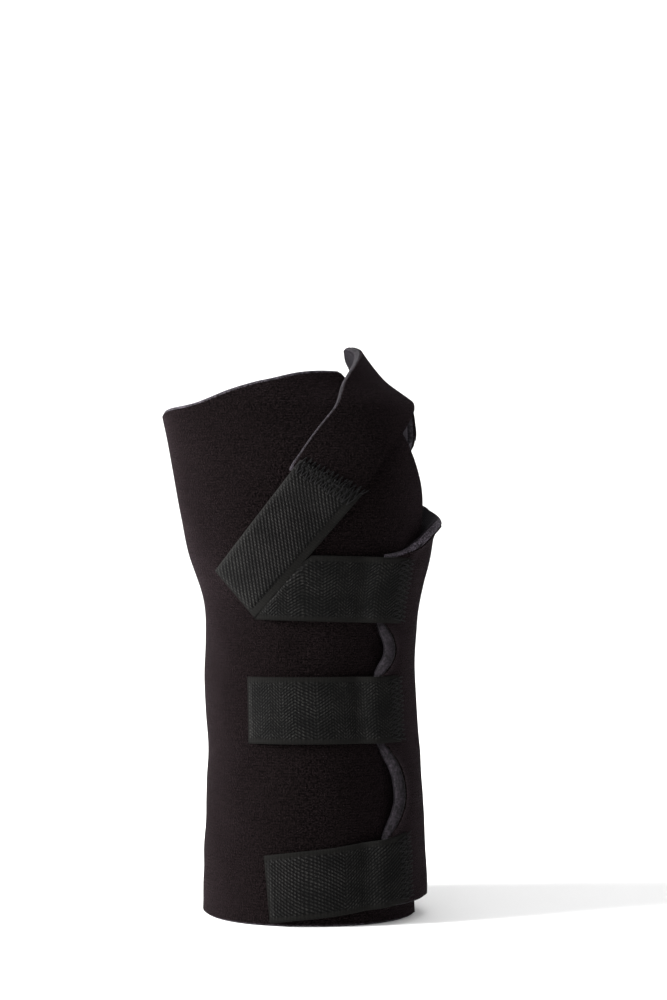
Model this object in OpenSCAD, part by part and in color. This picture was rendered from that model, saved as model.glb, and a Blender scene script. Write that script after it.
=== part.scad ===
// Wrist splint for the left hand, worn size, in millimetres.
//
// A laminated foam sheet wraps once round the forearm and palm. It starts at the thumb side of the
// back of the hand, runs round the little-finger side and the palm, and ends as a flap that closes
// over its own start with three hook straps. A tongue of the same sheet passes between thumb and
// index finger and closes with a fourth strap. A flat metal stay stands in a pocket on the palm side.
//
// +Z runs from the forearm to the fingers, -Y is the back of the hand, +X is the thumb side.
// Everything soft is laid out on the sleeve with three numbers: turn (degrees round the sleeve, where
// 90 is the back of the hand, 180 the little-finger side, 270 the palm and 360 the thumb side), height,
// and off (distance out from the inner surface).

/* [Laminate] */
// Thickness of the looped fabric on the outside
face_t = 0.5; // [0.4:0.1:0.6]
// Thickness of the foam core
foam_t = 2.2; // [1.8:0.1:2.4]
// Thickness of the knitted lining on the inside
lining_t = 0.5; // [0.4:0.1:0.6]

/* [Straps] */
// Width of the hook tape
tape_w = 20.5; // [18:0.5:21]
// Thickness of the woven tape
tape_t = 0.9; // [0.7:0.1:1.1]
// Height of the hooks under the tape
hook_t = 0.8; // [0.6:0.1:0.9]
// Length of a stitch's thread across its width
thread_w = 0.5; // [0.3:0.1:0.6]

/* [Stay] */
// Width of the stay
stay_w = 16; // [14:0.5:16]
// Thickness of the stay
stay_t = 1.6; // [1.2:0.1:1.8]
// Height of the stay's lower end
stay_z0 = 11; // [11:1:16]
// Height of the stay's upper end
stay_z1 = 145; // [143:1:150]
// Wall of the dipped caps on the stay's ends
cap_t = 0.6; // [0.4:0.1:0.6]

/* [Pocket] */
// Width of the pocket panel
pocket_w = 28; // [27:1:30]
// Thickness of the pocket panel
pocket_t = 1; // [0.8:0.1:1.2]
// Height of the pocket's mouth
pocket_z1 = 138; // [134:1:139]

/* [Hidden] */

// Sleeve: height, centre in X, half width and half depth of its inner surface.
stations = [
    [0, 0, 31.1, 24.8],
    [35, -0.4, 29.9, 22.8],
    [75, -1.7, 28.9, 19.8],
    [98, -1.5, 30.2, 20.3],
    [115, -1.9, 34.2, 21.8],
    [137, -3.3, 37.7, 21.3],
    [158, -7.8, 37.4, 18.3],
    [168, -14.1, 31.8, 16.6],
    [181, -20.1, 28, 14.8]
];
// The palm side is upright, so that the stay can be drawn straight out.
palm_y = 24.8;
// Roundness of the sleeve's section: 2 is an ellipse.
squareness = 2.3;

wrap_t = face_t + foam_t + lining_t;
ply_gap = 0.4;      // between two plies that lie on each other
seam_gap = 0.05;    // between two pieces that are sewn together
thread_gap = 0.2;   // between a thread and the cloth it is sewn in
fold_gap = 0.6;     // degrees left open on each side of a fold
second_ply = wrap_t + ply_gap;

// Top edge of the wrap, as turn and height.
wrap_top = [
    [40, 171], [60, 171.2], [77, 170.2], [108, 165.5], [136, 161], [175, 157.8],
    [210, 153], [245, 147.5], [275, 146.5], [303, 152], [330, 165], [347, 174.5], [360, 180]
];
// Top edge of the flap, as turn and height.
flap_top = [[320, 131], [345, 127.5], [365, 124.8], [380, 122.5], [391, 119], [401, 114.5], [416, 113]];

edge_turn = 15;         // the wrap's first edge, under the flap
web_edge_turn = 44;     // that edge at its top, under the web strap
flap_fold = 322;        // where the flap folds open
flap_edge = 412;        // the flap's free edge at a strap
flap_bottom = 5.5;
rim_waste = 2;          // what the square cut takes off below the rim
row_bias = 0.35;        // 0 spaces the rows of the wrap evenly
room = 100;             // more than the splint's reach from its middle
web_fold = 360;         // where the web strap turns over the web of the thumb
web_rise = 0.5;         // how much further it stands off where the sleeve narrows to the fingers
web_low = 162;          // height of the thumb hole's top
hole_low = 137;         // height at which the thumb hole's palm edge leaves the fold

// Gaps between the straps, where the flap's edge draws back: centre, half height, degrees.
scallops = [[84, 10, 7], [39.5, 17, 10]];

// Straps: name, height at the flap's edge, rise to the left, turn of the end at its bottom and top.
straps = [
    ["upper_strap", 102.5, 0, 470, 447],
    ["middle_strap", 65.3, 0, 478.5, 478.5],
    ["lower_strap", 16, -5, 466.5, 470]
];
strap_start = 402;      // the straps' sewn ends
step_turn = 9;          // degrees in which a tape steps down from the flap to the panel
selvedge = 1.6;         // plain margin at each side of the hooks
stitch_count = 10;

// Web strap: its upper and lower edges as three-point curves of turn and height.
web_upper = [[361, 180], [437, 168], [452, 140]];
web_lower = [[361, 162], [398, 160], [428, 130]];
// Its hook tab runs on from those edges to these two points.
tab_upper_end = [490.5, 109.5];
tab_lower_end = [471, 95];
tab_sewn = 0.86;        // share of the web strap where the tab's sewn end starts

pocket_z0 = 5;
pocket_room = 4.1;      // from the wrap to the pocket panel over the stay
hem_w = 7;
stay_y = palm_y + wrap_t + 0.9;
stay_r = 5;             // corner radius of the stay

function lerp(a, b, t) = a + (b - a) * t;
function smooth(t) = let (u = min(max(t, 0), 1)) u * u * (3 - 2 * u);
function spread(v, power) = sign(v) * pow(abs(v), power);

// A smooth curve through a table's rows, read at x from the given column.
function row_of(table, x, i = 0) = i >= len(table) - 2 || x < table[i + 1][0] ? i : row_of(table, x, i + 1);
function slope(table, i, col) =
    let (lo = max(i - 1, 0), hi = min(i + 1, len(table) - 1))
    (table[hi][col] - table[lo][col]) / (table[hi][0] - table[lo][0]);
function read(table, x, col = 1) =
    let (i = row_of(table, x), a = table[i], b = table[i + 1], h = b[0] - a[0], t = (x - a[0]) / h)
    (2 * t ^ 3 - 3 * t ^ 2 + 1) * a[col] + (t ^ 3 - 2 * t ^ 2 + t) * h * slope(table, i, col)
    + (3 * t ^ 2 - 2 * t ^ 3) * b[col] + (t ^ 3 - t ^ 2) * h * slope(table, i + 1, col);
function curve3(p, t) = lerp(lerp(p[0], p[1], t), lerp(p[1], p[2], t), t);

// A point of the sleeve from its turn, height and off.
function skin(turn, z, off) =
    let (a = read(stations, z, 2), b = read(stations, z, 3), power = 2 / squareness)
    [read(stations, z, 1) + (a + off) * spread(cos(turn), power),
     palm_y - b - (b + off) * spread(sin(turn), power),
     z];
// A point of the sleeve's palm side from its x, height and off.
function palm(x, z, off) =
    let (a = read(stations, z, 2) + off, b = read(stations, z, 3), c = abs(x - read(stations, z, 1)) / a)
    [x, palm_y - b + (b + off) * pow(1 - pow(c, squareness), 1 / squareness), z];

// How far a sheet has risen over the first ply by this turn.
function lift(turn) = second_ply * smooth((turn - 350) / 22);
// The flap stands off the thumb's base at the thumb hole.
function flare(turn, z) = 1.4 * smooth((z - 106) / 18) * smooth((398 - turn) / 30) * smooth((turn - 322) / 25);
function scallop(z) =
    [for (g = scallops) g[2] * pow(max(cos(90 * min(abs(z - g[0]) / g[1], 1)), 0), 1.3)] * [1, 1];

// A closed sheet between two surfaces, each a function of two numbers from 0 to 1.
module sheet(nu, nv, inner, outer) {
    n = (nu + 1) * (nv + 1);
    function at(i, j, side) = side * n + i * (nv + 1) + j;
    points = concat(
        [for (i = [0:nu]) for (j = [0:nv]) inner(i / nu, j / nv)],
        [for (i = [0:nu]) for (j = [0:nv]) outer(i / nu, j / nv)]
    );
    skins = [for (i = [0:nu - 1]) for (j = [0:nv - 1]) each [
        [at(i, j, 0), at(i + 1, j, 0), at(i + 1, j + 1, 0)],
        [at(i, j, 0), at(i + 1, j + 1, 0), at(i, j + 1, 0)],
        [at(i, j, 1), at(i + 1, j + 1, 1), at(i + 1, j, 1)],
        [at(i, j, 1), at(i, j + 1, 1), at(i + 1, j + 1, 1)]
    ]];
    ends = [for (i = [0:nu - 1]) each [
        [at(i, 0, 0), at(i, 0, 1), at(i + 1, 0, 1)], [at(i, 0, 0), at(i + 1, 0, 1), at(i + 1, 0, 0)],
        [at(i, nv, 0), at(i + 1, nv, 1), at(i, nv, 1)], [at(i, nv, 0), at(i + 1, nv, 0), at(i + 1, nv, 1)]
    ]];
    sides = [for (j = [0:nv - 1]) each [
        [at(0, j, 0), at(0, j + 1, 1), at(0, j, 1)], [at(0, j, 0), at(0, j + 1, 0), at(0, j + 1, 1)],
        [at(nu, j, 0), at(nu, j, 1), at(nu, j + 1, 1)], [at(nu, j, 0), at(nu, j + 1, 1), at(nu, j + 1, 0)]
    ]];
    polyhedron(points, concat(skins, ends, sides));
}

// Rows of the wrap lie closer together towards the hand, where the sleeve curves most.
function climb(q) = q * (1 + row_bias - row_bias * q);
// The wrap: p runs round the sleeve and q up it.
function wrap_low_turn(z) = lerp(edge_turn, web_edge_turn, smooth((z - 122) / 52));
function wrap_high_turn(z) =
    lerp(flap_fold, web_fold, smooth((z - hole_low) / (web_low - hole_low))) - fold_gap;
function wrap_at(p, q, off) =
    let (z = lerp(-rim_waste, read(wrap_top, lerp(web_edge_turn, web_fold, p)), climb(q)),
         turn = lerp(wrap_low_turn(z), wrap_high_turn(z), p))
    skin(turn, z, off + lift(turn));
// One square cut at height 0 makes the rim that the splint stands on.
module wrap_layer(low, high) {
    difference() {
        sheet(46, 16, function(p, q) wrap_at(p, q, low), function(p, q) wrap_at(p, q, high));
        translate([-room, -room, -2 * rim_waste]) cube([2 * room, 2 * room, 2 * rim_waste]);
    }
}
module wrap_lining() { color("#5d5862") wrap_layer(0, lining_t); }
module wrap_foam() { color("#4a464d") wrap_layer(lining_t, lining_t + foam_t); }
module wrap_face() { color("#241d21") wrap_layer(lining_t + foam_t, wrap_t); }

// The flap: p runs from its fold to its free edge and q up it.
function flap_at(p, q, off) =
    let (mid = lerp(flap_fold + fold_gap, flap_edge, p),
         z = lerp(flap_bottom * smooth((mid - 325) / 40), read(flap_top, mid), q),
         turn = mid - p ^ 3 * scallop(z))
    skin(turn, z, off + lift(turn) + flare(turn, z));
module flap_layer(low, high) {
    sheet(12, 24, function(p, q) flap_at(p, q, low), function(p, q) flap_at(p, q, high));
}
module flap_lining() { color("#5d5862") flap_layer(0, lining_t); }
module flap_foam() { color("#4a464d") flap_layer(lining_t, lining_t + foam_t); }
module flap_face() { color("#241d21") flap_layer(lining_t + foam_t, wrap_t); }

// A strap: q runs up it, and from turn to turn. Its tape steps down past the flap's edge.
function strap_z(strap, turn, q) =
    strap[1] + strap[2] * (turn - flap_edge) / 60 + (q - 0.5) * tape_w;
function tape_off(turn, edge) =
    lerp(wrap_t + second_ply + seam_gap, second_ply + hook_t, smooth((turn - edge) / step_turn));
function strap_end(strap, q) = lerp(strap[3], strap[4], q);
function strap_at(strap, turn, q, off) = skin(turn, strap_z(strap, turn, q), off);
module strap_piece(strap, from, to, long) {
    sheet(long, 4,
        function(p, q) let (turn = lerp(from, to(q), p)) strap_at(strap, turn, q, tape_off(turn, flap_edge)),
        function(p, q) let (turn = lerp(from, to(q), p))
            strap_at(strap, turn, q, tape_off(turn, flap_edge) + tape_t));
}
module strap_base(strap) {
    color("#1d201d") strap_piece(strap, strap_start, function(q) flap_edge - fold_gap, 3);
}
module strap_tail(strap) {
    color("#1d201d") strap_piece(strap, flap_edge + fold_gap, function(q) strap_end(strap, q), 20);
}
module strap_hooks(strap) {
    margin = selvedge / tape_w;
    from = flap_edge + step_turn + 1;
    function turn_at(p, q) = lerp(from, strap_end(strap, q) - 1, p);
    color("#141614") sheet(16, 4,
        function(p, q) let (v = lerp(margin, 1 - margin, q), turn = turn_at(p, v))
            strap_at(strap, turn, v, second_ply),
        function(p, q) let (v = lerp(margin, 1 - margin, q), turn = turn_at(p, v))
            strap_at(strap, turn, v, second_ply + hook_t - 2 * seam_gap));
}
// One stitch: a bar of thread between two points, given as [across, along] of the piece it is on.
module stitch(from, to, place, under) {
    along = to - from;
    side = [-along[1], along[0]] / norm(along) * thread_w / 2;
    sheet(1, 1,
        function(p, q) place(lerp(from, to, p) + side * (2 * q - 1), under),
        function(p, q) place(lerp(from, to, p) + side * (2 * q - 1), under + thread_w));
}
// A zigzag of stitches between two turns.
module strap_stitching(strap) {
    pitch = (tape_w - 2) / stitch_count;
    place = function(v, off) skin(v[0] + strap_start, strap_z(strap, strap_start, 0) + v[1], off);
    color("#0e0f0e") for (i = [0:stitch_count - 1]) {
        near = i % 2 == 0 ? 1.5 : 8;
        far = i % 2 == 0 ? 8 : 1.5;
        ends = [[near, 1.45 + i * pitch], [far, 0.55 + (i + 1) * pitch]];
        stitch(ends[0], ends[1], place, wrap_t + second_ply + tape_t + thread_gap);
    }
}

// The web strap: p runs from the fold to its end and q from its upper to its lower edge.
function web_at(p, q, off) =
    let (v = lerp(curve3(web_upper, p), curve3(web_lower, p), q))
    skin(v[0], v[1], off + lift(v[0]) + web_rise * smooth((v[0] - 364) / 14) * smooth((v[1] - 145) / 15));
module web_layer(low, high) {
    sheet(24, 8, function(p, q) web_at(p, q, low), function(p, q) web_at(p, q, high));
}
module web_strap_lining() { color("#5d5862") web_layer(0, lining_t); }
module web_strap_foam() { color("#4a464d") web_layer(lining_t, lining_t + foam_t); }
module web_strap_face() { color("#241d21") web_layer(lining_t + foam_t, wrap_t); }

// The web strap's tab: its sewn end lies on the strap, and its tail runs on past the strap's end.
module web_tab_base() {
    color("#1d201d") sheet(4, 4,
        function(p, q) web_at(lerp(tab_sewn, 1, p), q, wrap_t + seam_gap),
        function(p, q) web_at(lerp(tab_sewn, 1, p), q, wrap_t + seam_gap + tape_t));
}
function tab_at(p, q, off) =
    let (v = lerp(lerp(web_upper[2], tab_upper_end, p), lerp(web_lower[2], tab_lower_end, p), q))
    skin(v[0], v[1], off);
function tab_off(p) = lerp(wrap_t + second_ply + seam_gap, second_ply + hook_t, smooth((p - 0.02) / 0.2));
module web_tab_tail() {
    color("#1d201d") sheet(16, 4,
        function(p, q) tab_at(lerp(0.01, 1, p), q, tab_off(p)),
        function(p, q) tab_at(lerp(0.01, 1, p), q, tab_off(p) + tape_t));
}
module web_tab_hooks() {
    color("#141614") sheet(12, 4,
        function(p, q) tab_at(lerp(0.26, 0.98, p), lerp(0.08, 0.92, q), second_ply),
        function(p, q) tab_at(lerp(0.26, 0.98, p), lerp(0.08, 0.92, q), second_ply + hook_t - 2 * seam_gap));
}
// A zigzag across the tab's sewn end.
module web_tab_stitching() {
    place = function(v, off) web_at(lerp(tab_sewn, 1, v[0] / 10), v[1] / 24, off);
    pitch = 22 / stitch_count;
    color("#0e0f0e") for (i = [0:stitch_count - 1]) {
        near = i % 2 == 0 ? 1.5 : 8.5;
        far = i % 2 == 0 ? 8.5 : 1.5;
        stitch([near, 1.5 + i * pitch], [far, 0.5 + (i + 1) * pitch], place, wrap_t + tape_t + thread_gap);
    }
}

// The pocket: x runs across it. It stands off the wrap over the stay and lies on it at its seams.
function pocket_off(x, z) =
    seam_gap + pocket_room * smooth((pocket_w / 2 - 1 - abs(x)) / 3) * smooth((z - pocket_z0 - 1) / 3);
function pocket_x(p) = (p - 0.5) * pocket_w;
module stay_pocket() {
    color("#2b2529") sheet(20, 18,
        function(p, q) let (z = lerp(pocket_z0, pocket_z1, q ^ 1.6))
            palm(pocket_x(p), z, wrap_t + pocket_off(pocket_x(p), z)),
        function(p, q) let (z = lerp(pocket_z0, pocket_z1, q ^ 1.6))
            palm(pocket_x(p), z, wrap_t + pocket_off(pocket_x(p), z) + pocket_t));
}
module pocket_hem() {
    lies = wrap_t + pocket_t + seam_gap;
    color("#17181a") sheet(20, 3,
        function(p, q) let (x = pocket_x(p), z = lerp(pocket_z1 - hem_w, pocket_z1, q))
            palm(x, z, lies + pocket_off(x, z)),
        function(p, q) let (x = pocket_x(p), z = lerp(pocket_z1 - hem_w, pocket_z1, q))
            palm(x, z, lies + pocket_off(x, z) + 0.7));
}
// Dashes up both sides of the pocket and along its bottom.
module pocket_stitching() {
    place = function(v, off) palm(v[0], v[1], off + pocket_off(v[0], v[1]));
    high = wrap_t + pocket_t + thread_gap;
    side_x = pocket_w / 2 - 1.2;
    color("#0e0f0e") {
        for (x = [-side_x, side_x]) for (z = [pocket_z0 + 2:6:pocket_z1 - hem_w - 5])
            stitch([x, z], [x, z + 3.5], place, high);
        for (x = [-10:5:8]) stitch([x, pocket_z0 + 0.9], [x + 3.2, pocket_z0 + 0.9], place, high);
    }
}

// A flat bar with round corners, standing on the palm side.
module rounded_bar(width, thick, z0, z1, r) {
    translate([0, stay_y + stay_t / 2 + thick / 2, 0]) rotate([90, 0, 0]) linear_extrude(thick) {
        translate([-width / 2, z0 + r]) square([width, z1 - z0 - 2 * r]);
        translate([-width / 2 + r, z0]) square([width - 2 * r, z1 - z0]);
        for (x = [-width / 2 + r, width / 2 - r]) for (z = [z0 + r, z1 - r])
            translate([x, z]) circle(r, $fn = 48);
    }
}
module palmar_stay() { color("#b9bcc0") rounded_bar(stay_w, stay_t, stay_z0, stay_z1, stay_r); }
// A dipped cap over one end of the stay.
module stay_cap(z0, z1) {
    color("#101114") intersection() {
        difference() {
            rounded_bar(stay_w + 2 * cap_t, stay_t + 2 * cap_t, stay_z0 - cap_t, stay_z1 + cap_t, stay_r + cap_t);
            rounded_bar(stay_w, stay_t, stay_z0, stay_z1, stay_r);
        }
        translate([-stay_w, stay_y - stay_t, z0]) cube([2 * stay_w, 3 * stay_t, z1 - z0]);
    }
}
module stay_cap_upper() { stay_cap(stay_z1 - 12, stay_z1 + 2); }
module stay_cap_lower() { stay_cap(stay_z0 - 2, stay_z0 + 8); }

wrap_face();
wrap_foam();
wrap_lining();
stay_pocket();
pocket_hem();
pocket_stitching();
palmar_stay();
stay_cap_upper();
stay_cap_lower();
flap_face();
flap_foam();
flap_lining();
for (strap = straps) {
    strap_base(strap);
    strap_stitching(strap);
    strap_tail(strap);
    strap_hooks(strap);
}
web_strap_face();
web_strap_foam();
web_strap_lining();
web_tab_base();
web_tab_stitching();
web_tab_tail();
web_tab_hooks();
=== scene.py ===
"""Wrist splint for a left hand: cloth, foam, tape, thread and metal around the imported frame."""

import math

import bpy
import numpy as np
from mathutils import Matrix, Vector, noise


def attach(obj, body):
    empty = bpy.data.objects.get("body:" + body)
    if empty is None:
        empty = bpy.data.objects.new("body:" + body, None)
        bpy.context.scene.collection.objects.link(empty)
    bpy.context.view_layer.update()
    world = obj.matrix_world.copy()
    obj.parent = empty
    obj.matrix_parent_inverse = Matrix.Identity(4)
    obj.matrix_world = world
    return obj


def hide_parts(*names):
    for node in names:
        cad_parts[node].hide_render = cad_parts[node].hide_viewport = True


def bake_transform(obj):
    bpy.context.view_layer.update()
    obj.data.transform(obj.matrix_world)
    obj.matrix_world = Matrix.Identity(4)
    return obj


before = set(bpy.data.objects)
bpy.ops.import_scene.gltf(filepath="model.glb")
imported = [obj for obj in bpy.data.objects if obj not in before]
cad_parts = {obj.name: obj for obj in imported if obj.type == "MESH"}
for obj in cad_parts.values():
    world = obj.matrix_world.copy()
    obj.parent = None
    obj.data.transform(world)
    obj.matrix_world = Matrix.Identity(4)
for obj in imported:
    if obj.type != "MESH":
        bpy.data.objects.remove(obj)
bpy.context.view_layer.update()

MM = 0.001


# ---------------------------------------------------------------- the sleeve, in millimetres
# As in the CAD model: turn is degrees round the sleeve (90 the back of the hand, 180 the
# little-finger side, 270 the palm, 360 the thumb side) and off is the distance out from its inside.

STATIONS = np.array([  # height, centre in X, half width, half depth
    [0, 0, 31.1, 24.8],
    [35, -0.4, 29.9, 22.8],
    [75, -1.7, 28.9, 19.8],
    [98, -1.5, 30.2, 20.3],
    [115, -1.9, 34.2, 21.8],
    [137, -3.3, 37.7, 21.3],
    [158, -7.8, 37.4, 18.3],
    [168, -14.1, 31.8, 16.6],
    [181, -20.1, 28, 14.8],
])
PALM_Y = 24.8
SQUARENESS = 2.3

FACE_T, FOAM_T, LINING_T = 0.5, 2.2, 0.5
WRAP_T = FACE_T + FOAM_T + LINING_T
SECOND_PLY = WRAP_T + 0.4
TAPE_W, TAPE_T, HOOK_T = 20.5, 0.9, 0.8

WRAP_TOP = np.array([
    [40, 171], [60, 171.2], [77, 170.2], [108, 165.5], [136, 161], [175, 158.8],
    [210, 154.2], [245, 147.5], [275, 146.5], [303, 152], [330, 165], [347, 174.5], [360, 180],
])
FLAP_TOP = np.array([
    [320, 131], [345, 128.0], [365, 125.2], [380, 122.4], [391, 118.4], [401, 114.5], [416, 113],
])
FLAP_EDGE = 412
FLAP_BOTTOM = 5.5
EDGE_TURN, WEB_EDGE_TURN = 15, 44  # the wrap's covered edge, below EDGE_Z0 and above EDGE_Z1
EDGE_Z0, EDGE_Z1 = 122, 174
HOLE_Z0, HOLE_Z1 = 131, 162  # heights between which the thumb hole's palm edge turns to the fold
FLAP_SPLIT = 312  # where the flap's pieces start, on the palm side of its fold
WEB_SPLIT = 343  # where the web strap's pieces start, on the palm side of its fold
WEB_FOLD = 360
WEB_RISE = 0.5
SCALLOPS = [(84, 8.6, 3.5), (40.5, 14.6, 7)]  # gaps between straps: middle, half height, degrees

STRAPS = {  # height at the flap's edge, rise to the left, turn of the end at its bottom and top
    "upper_strap": (102.5, 1.2, 473.5, 447.5),
    "middle_strap": (65.3, 0, 478.5, 478.5),
    "lower_strap": (16, -5, 466.5, 470),
}
STRAP_START = 398
STRAP_SPAN = 60  # the turn over which a strap rises by its stated rise
STEP_TURN = 14
RIB_STEP = 0.26  # spacing of a tape's mesh, fine enough for its ribs
SEWN_OFF, STUCK_OFF = WRAP_T + SECOND_PLY + 0.05, SECOND_PLY + HOOK_T  # a tape's underside

# Millimetres of cloth to a degree of turn: under the straps, at the flap's edge and on average.
TURN_MM, EDGE_TURN_MM, MEAN_TURN_MM = 0.6, 0.56, 0.58

WEB_UPPER = np.array([[361, 180], [437, 168], [452, 140]])
WEB_LOWER = np.array([[361, 162], [398, 160], [429, 131]])
# The web tab's corners as X and height: its sewn end and its free end, each from the lower edge up.
TAB_CORNERS = np.array([[[16.1, 132.0], [-2.9, 142.8]], [[-16.8, 93.8], [-29.3, 108.6]]])
TAB_LENGTH, TAB_W = 51, 22
TAB_FOLD, TAB_DOWN = np.array([5.1, 135.0]), np.array([-0.405, -0.915])  # a point and the way past it

PLY_CLIMB = 350, 22  # turn where a second ply starts to climb, and how far on
WEB_CLIMB, WEB_CLIMB_Z = (364, 14), (145, 15)  # the same for the web strap's rise, in turn and height

# How far the flap's free edge and its rim at the thumb hole roll outward, from how deep in the sheet,
# how much thicker the foam of the free edge is, and the turns where the rim starts and stops rolling.
EDGE_CURL, CURL_REACH, EDGE_SWELL = 4.4, 7.5, 0.9
RIM_CURL, RIM_REACH = 2.9, 6.5
RIM_CLIMB, RIM_FALL = (326, 25), (404, 14)
SCALLOP_POWER = 1.1  # over 1, a gap's curve eases in from the straps

RIB_HEIGHT, TAB_RIB_HEIGHT = 0.1, 0.05
SELVEDGE = 1.6
TAB_SELVEDGES = 2.5, 0.4
# Herringbone of each tape: pitch across the tape, slope, width of a column and where the first starts.
TWILLS = {
    "upper_strap": (1.02, 0.84, 3.4, 1.0),
    "middle_strap": (1.02, 0.84, 3.9, 2.2),
    "lower_strap": (1.1, 0.8, 60, 261.5),
}
TAB_RIB_PITCH, TAB_RIB_LEAN = 1.04, 0.14

POCKET_W, POCKET_T, POCKET_Z0, POCKET_Z1, POCKET_ROOM = 28, 1, 5, 138, 4.1


def lerp(a, b, t):
    """From a at 0 to b at 1."""
    return a + (b - a) * t


def smooth(t):
    """From 0 at 0 to 1 at 1, level at both ends and beyond."""
    t = np.clip(t, 0, 1)
    return t * t * (3 - 2 * t)


def climb(x, start, over):
    """From 0 at the start to 1 that far past it."""
    return smooth((x - start) / over)


def fall(x, end, over):
    """From 1 that far before the end to 0 at it."""
    return smooth((end - x) / over)


def hermite(v0, v1, s0, s1, h, t):
    """The cubic between two values with given slopes, h apart, at share t."""
    return (
        (2 * t**3 - 3 * t**2 + 1) * v0
        + (t**3 - 2 * t**2 + t) * h * s0
        + (3 * t**2 - 2 * t**3) * v1
        + (t**3 - t**2) * h * s1
    )


def read(table, x, col=1):
    """A smooth curve through a table's rows, read at x from the given column."""
    x = np.asarray(x, float)
    keys, values = table[:, 0], table[:, col]
    i = np.clip(np.searchsorted(keys, x, side="right") - 1, 0, len(keys) - 2)
    slopes = np.array([
        (values[min(k + 1, len(keys) - 1)] - values[max(k - 1, 0)])
        / (keys[min(k + 1, len(keys) - 1)] - keys[max(k - 1, 0)])
        for k in range(len(keys))
    ])
    h = keys[i + 1] - keys[i]
    return hermite(values[i], values[i + 1], slopes[i], slopes[i + 1], h, (x - keys[i]) / h)


def curve3(p, t):
    """A smooth curve from the first of three points to the last, drawn towards the middle one."""
    t = np.asarray(t, float)[..., None]
    return lerp(lerp(p[0], p[1], t), lerp(p[1], p[2], t), t)


def skin(turn, z, off):
    """A point of the sleeve from its turn, height and off."""
    turn, z, off = np.broadcast_arrays(np.asarray(turn, float), np.asarray(z, float), off)
    a, b = read(STATIONS, z, 2), read(STATIONS, z, 3)
    c, s = np.cos(np.radians(turn)), np.sin(np.radians(turn))
    power = 2 / SQUARENESS
    x = read(STATIONS, z, 1) + (a + off) * np.sign(c) * np.abs(c) ** power
    y = PALM_Y - b - (b + off) * np.sign(s) * np.abs(s) ** power
    return np.stack([x, y, z], -1)


def facing(side, x, z, off):
    """A point of the sleeve's palm side, or with side -1 of its back, from its x, height and off."""
    x, z, off = np.broadcast_arrays(np.asarray(x, float), np.asarray(z, float), off)
    a, b = read(STATIONS, z, 2) + off, read(STATIONS, z, 3)
    c = np.abs(x - read(STATIONS, z, 1)) / a
    y = PALM_Y - b + side * (b + off) * (1 - c**SQUARENESS) ** (1 / SQUARENESS)
    return np.stack([x, y, z], -1)


def lift(turn):
    """How far the second ply stands off the sleeve where it climbs over the back panel."""
    return SECOND_PLY * climb(turn, *PLY_CLIMB)


def web_lift(turn, z):
    """The same for the web strap, which stands off further at its fold."""
    return lift(turn) + WEB_RISE * climb(turn, *WEB_CLIMB) * climb(z, *WEB_CLIMB_Z)


def gap(z):
    """1 in the middle of each gap between two straps, 0 at the straps: one row per gap."""
    return [np.maximum(1 - ((z - mid) / half) ** 2, 0) ** SCALLOP_POWER for mid, half, _ in SCALLOPS]


def scallop(z):
    """How many degrees the flap's edge is cut back."""
    return sum(row[2] * share for row, share in zip(SCALLOPS, gap(z)))


def edge_curl(turn, z, edge):
    """The flap's free edge rolls outward between the straps, where nothing holds it down."""
    from_edge = np.maximum(edge - turn, 0) * EDGE_TURN_MM
    return EDGE_CURL * sum(gap(z)) * np.maximum(1 - from_edge / CURL_REACH, 0) ** 2


def rim_curl(turn, z, top):
    """Its rim at the thumb hole rolls outward as well, up to the upper strap."""
    share = climb(turn, *RIM_CLIMB) * fall(turn, *RIM_FALL)
    return RIM_CURL * share * np.maximum(1 - (top - z) / RIM_REACH, 0) ** 2


# ---------------------------------------------------------------- mesh building


def new_object(name, verts, faces, **layers):
    """A smooth mesh from points in millimetres. Each layer is a UV map of pairs, one per vertex."""
    mesh = bpy.data.meshes.new(name)
    verts = np.asarray(verts, float) * MM
    verts[:, 2] = np.maximum(verts[:, 2], 0)  # the splint stands on its square-cut rim
    mesh.from_pydata(verts.tolist(), [], [list(map(int, f)) for f in faces])
    mesh.validate()
    index = np.zeros(len(mesh.loops), int)
    mesh.loops.foreach_get("vertex_index", index)
    for key, pairs in layers.items():
        mesh.uv_layers.new(name=key).data.foreach_set("uv", np.asarray(pairs, float)[index].ravel())
    mesh.shade_smooth()
    mesh.set_sharp_from_angle(angle=math.radians(48))
    obj = bpy.data.objects.new(name, mesh)
    bpy.context.scene.collection.objects.link(obj)
    return obj


def normals(grid):
    """Outward unit normals of a grid whose first direction is round the sleeve and second is up."""
    n = np.cross(np.gradient(grid, axis=1), np.gradient(grid, axis=0))
    return n / np.maximum(np.linalg.norm(n, axis=-1, keepdims=True), 1e-9)


def pushed(grid, distance):
    """A grid moved outward by that distance, which may differ from place to place."""
    return grid + normals(grid) * np.asarray(distance)[..., None]


def rim_of(nu, nv):
    """Indices round a grid's edge, in order."""
    at = np.arange(nu * nv).reshape(nu, nv)
    return [*at[:-1, 0], *at[-1, :-1], *at[:0:-1, -1], *at[0, :0:-1]]


def quads_of(nu, nv):
    """Indices of a grid's faces."""
    first = np.arange(nu * nv).reshape(nu, nv)[:-1, :-1].ravel()
    return np.stack([first, first + nv, first + nv + 1, first + 1], -1)


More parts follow.
